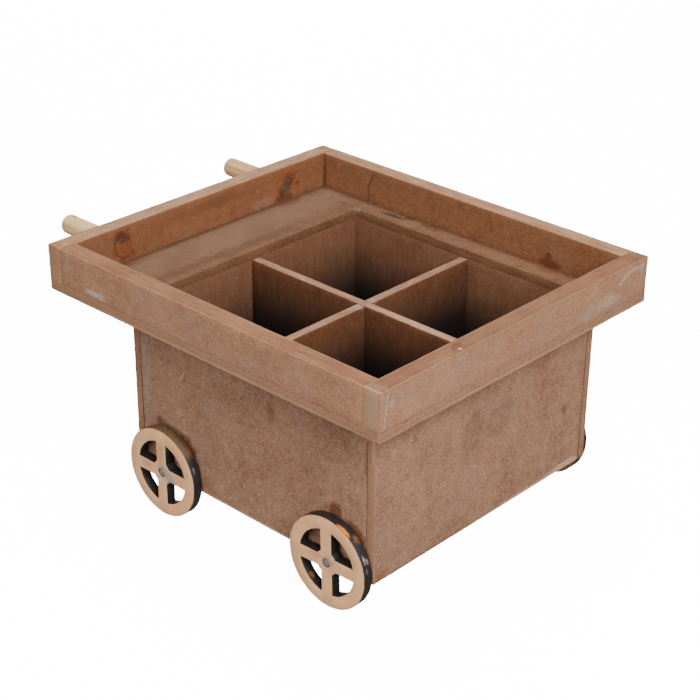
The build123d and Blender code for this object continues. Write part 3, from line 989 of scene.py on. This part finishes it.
wheelMarks = {
    "wheel_rear_right": [
        spot((-15.6, -53.2, 14.4), (3.8, 1, 2.4), "lavender", 0.95, turn=(0, 16, 0), gloss=0.4, ragged=1.2),
        spot((-12.6, -53.2, 13.5), (2.6, 1, 1.1), "lavender", 0.9, turn=(0, 16, 0), gloss=0.4, ragged=1.2),
        spot((-16.9, -53.2, 22), (1.2, 1, 4.4), "rust", 0.3, soft=0.6),
        spot((-23.5, -53.2, 15), (2.4, 1, 1.4), "rust", 0.3, soft=0.6),
        spot((-29.6, -53.2, 18), (1.2, 1, 2.6), "grey", 0.4, soft=0.6),
    ],
    "wheel_front_right": [
        spot((53.7, -53.2, 14.7), (2.6, 1, 2.2), "lavender", 0.5, gloss=0.5, ragged=1.2),
        spot((49.4, -53.2, 15.6), (2.8, 1, 1.3), "rust", 0.3, soft=0.6),
        spot((60.2, -53.2, 28.2), (2.7, 0.7, 0.75), "orange", 0.95, turn=(0, 25, 0), ragged=0.7, gloss=0.5),
    ],
    "wheel_rear_left": [
        spot((-16.7, 53.2, 14.7), (3, 1, 2.6), "lavender", 0.6, gloss=0.45, ragged=1.1),
    ],
    "wheel_front_left": [
        # painted shade: the whole inner face of this wheel, under the box, is darkened
        spot((52.2, 50, 14.7), (24, 1, 24), "toast", 0.85, ragged=0.4),
        spot((52.2, 53.2, 14.7), (3.2, 1, 2.2), "lavender", 0.5, gloss=0.45, ragged=1.1),
    ],
}
charMarks = {
    "wheel_rear_right": [
        spot((-13, -51.6, 28), (13, 3, 5), "tanBrown", 0.95, soft=0.4, ragged=0.7),
        spot((-10, -50.4, 28), (6, 0.8, 3), "soot", 0.5, ragged=1.4),
        spot((-3, -52, 20.6), (0.8, 0.35, 1.8), "lavender", 0.85),
        spot((-3.2, -51.4, 17.3), (0.8, 0.3, 1.3), "white", 0.7),
        spot((-3.4, -52.8, 11), (0.9, 0.25, 3), "lavender", 0.5),
    ],
    "wheel_front_right": [
        spot((60.4, -52.7, 28.3), (2.7, 0.9, 1), "orange", 0.95, turn=(0, 25, 0)),
        spot((63, -51.2, 26.4), (1.6, 1.1, 1.2), "rust", 0.6, turn=(0, 40, 0), ragged=1.2),
        spot((66.7, -51.9, 20.6), (1, 0.35, 1.6), "white", 0.8),
        spot((67.6, -50.9, 20.4), (0.9, 0.35, 0.9), "white", 0.8),
        spot((67.4, -51.8, 17.6), (0.9, 0.5, 1), "grey", 0.6),
        spot((47, -52, 7), (1.4, 0.7, 0.8), "rust", 0.7, ragged=1.5),
        spot((44.4, -51, 11.4), (0.7, 0.8, 0.7), "grey", 0.7),
    ],
    "wheel_rear_left": [],
    "wheel_front_left": [],
}


def buildWheels():
    for seed, name in enumerate(sorted(wheelMarks)):
        low, high = cubesOf(name)
        hub = (low + high) / 2
        outward = 1 if name.endswith("left") else -1
        shape = wheelShape(low, high, outward)
        if name in wheelLook["rest"]:
            turnShape(shape, wheelLook["rest"][name] * outward, "Y", hub)
        face = wheelFaceWood(name + "Face", hub, seed + 1, wheelMarks[name])
        char = charredEdge(name + "Edge", seed + 1, charMarks[name])
        makePiece(name + "_cut", shape, [face, char], body=name, stands=(name,),
                  smooth=30)
    print("wheels built")


pinLook = {
    "head": 1.3, "headThick": 0.7, "headRound": 0.25, "headSegments": 3, "shank": 0.8, "neck": 0.02,
    "sides": 32, "bright": paint(164, 148, 140), "dull": paint(136, 114, 98), "shift": 0.07,
    "scratch": (3000, 3, 0.6), "scratchStretch": (4, 1, 1), "tarnish": (1100, 3, 0.6), "bump": 0.00003,
}


def pinSteel(name, seed):
    look = pinLook
    finish = Finish(name)
    inside = finish.placed(finish.here, (seed * look["shift"], 0, 0))
    scratch = finish.cloud(finish.placed(inside, size=look["scratchStretch"]), *look["scratch"])
    tarnish = finish.cloud(inside, *look["tarnish"])
    colour = finish.mix(finish.ease(tarnish, 0.35, 0.7), look["bright"], look["dull"])
    roughness = finish.ease(scratch, 0.3, 0.7, 0.35, 0.6)
    metallic = finish.ease(tarnish, 0.4, 0.75, 0.5, 0.15)
    return finish.close(colour, roughness, scratch, metallic, bumpDepth=look["bump"])


def buildPins():
    for seed, end in enumerate(("front", "rear")):
        for side, outward in (("left", 1), ("right", -1)):
            name = "axle_pin_" + end + "_" + side
            low, high = cubesOf(name)
            shank = pinLook["shank"] * mm
            shape = bmesh.new()
            bmesh.ops.create_cone(
                shape, cap_ends=True, segments=pinLook["sides"], radius1=shank, radius2=shank,
                depth=high.y - low.y)
            top = max(shape.faces, key=lambda face: face.calc_center_median().z)
            # the head: step in by its thickness, widen, and come back up
            bmesh.ops.translate(shape, vec=(0, 0, -pinLook["headThick"] * mm), verts=top.verts)
            bmesh.ops.inset_individual(shape, faces=[top], thickness=pinLook["neck"] * mm)
            for vert in top.verts:
                arm = Vector((vert.co.x, vert.co.y, 0)).normalized() * pinLook["head"] * mm
                vert.co = arm + Vector((0, 0, vert.co.z))
            head = bmesh.ops.extrude_discrete_faces(shape, faces=[top])["faces"][0]
            bmesh.ops.translate(shape, vec=(0, 0, pinLook["headThick"] * mm), verts=head.verts)
            roundOff(shape, head.edges[:], pinLook["headRound"] * mm, pinLook["headSegments"])
            turnShape(shape, -90 * outward, "X")
            bmesh.ops.translate(shape, vec=(low + high) / 2, verts=shape.verts)
            steel = pinSteel(name + "Steel", seed * 2 + outward)
            makePiece(name + "_nail", shape, [steel], stands=(name,), smooth=40)
    print("pins built")


# degrees, millimetres and watts; the clip distances and the floor's half width are in metres
studio = {
    "azimuth": 42.91, "elevation": 27.29, "roll": 0.58, "distance": 487.59,
    "target": (34.75, -23.75, 64.98), "lens": 86.93, "sensor": 36, "near": 0.01, "far": 20,
    "skyStrength": 0.3, "floorGlow": 14, "floorHalf": 6, "floorCloud": (40, 2, 0.5),
    "floorTones": ((0.93, 0.93, 0.93, 1), (0.95, 0.95, 0.95, 1)), "lightAim": (0, 0, 45),
    "lights": {
        "keyLight": ((700, -250, 620), 420, 12.1), "sideLight": ((60, -800, 520), 500, 4.6),
        "topLight": ((-150, 150, 900), 420, 4.6), "backLight": ((-640, 620, 260), 520, 5.5),
    },
}


def areaLight(name, place, size, power):
    data = bpy.data.lights.new(name, "AREA")
    data.shape = "SQUARE"
    data.size = size * mm
    data.energy = power
    light = bpy.data.objects.new(name, data)
    light.location = Vector(place) * mm
    away = Vector(studio["lightAim"]) * mm - light.location
    light.rotation_euler = away.to_track_quat("-Z", "Y").to_euler()
    bpy.context.scene.collection.objects.link(light)


def buildStudio():
    azimuth = math.radians(studio["azimuth"])
    elevation = math.radians(studio["elevation"])
    roll = math.radians(studio["roll"])
    back = Vector((math.sin(azimuth) * math.cos(elevation), -math.cos(azimuth) * math.cos(elevation),
                   math.sin(elevation)))
    right = Vector((math.cos(azimuth), math.sin(azimuth), 0))
    up = back.cross(right)
    tiltedRight = right * math.cos(roll) + up * math.sin(roll)
    tiltedUp = up * math.cos(roll) - right * math.sin(roll)
    lensData = bpy.data.cameras.new("productCamera")
    lensData.lens = studio["lens"]
    lensData.sensor_width = studio["sensor"]
    lensData.clip_start = studio["near"]
    lensData.clip_end = studio["far"]
    camera = bpy.data.objects.new("productCamera", lensData)
    turn = Matrix((tiltedRight, tiltedUp, back)).transposed()
    place = Vector(studio["target"]) * mm + back * studio["distance"] * mm
    camera.matrix_world = Matrix.Translation(place) @ turn.to_4x4()
    bpy.context.scene.collection.objects.link(camera)
    bpy.context.scene.camera = camera
    world = bpy.data.worlds.new("paleRoom")
    world.use_nodes = True
    sky = world.node_tree.nodes["Background"]
    sky.inputs["Color"].default_value = (1, 1, 1, 1)
    sky.inputs["Strength"].default_value = studio["skyStrength"]
    bpy.context.scene.world = world
    for name, (lightPlace, size, power) in studio["lights"].items():
        areaLight(name, lightPlace, size, power)
    shape = bmesh.new()
    bmesh.ops.create_grid(shape, x_segments=8, y_segments=8, size=studio["floorHalf"])
    mesh = bpy.data.meshes.new("paleFloor")
    shape.to_mesh(mesh)
    shape.free()
    pale = Finish("paleFloorPaint")
    speckle = pale.cloud(pale.here, *studio["floorCloud"])
    colour = pale.mix(speckle, *studio["floorTones"])
    glow = {"Emission Color": (1, 1, 1, 1), "Emission Strength": studio["floorGlow"]}
    mesh.materials.append(pale.close(colour, 0.9, extra=glow))
    floor = bpy.data.objects.new("paleFloor", mesh)
    bpy.context.scene.collection.objects.link(floor)
    floor.visible_diffuse = False
    floor.visible_glossy = False
    print("camera, lights and floor set")


buildStudio()
buildRims()
buildTrayFloor()
buildWalls()
buildDividers()
buildHandles()
buildWheels()
buildPins()
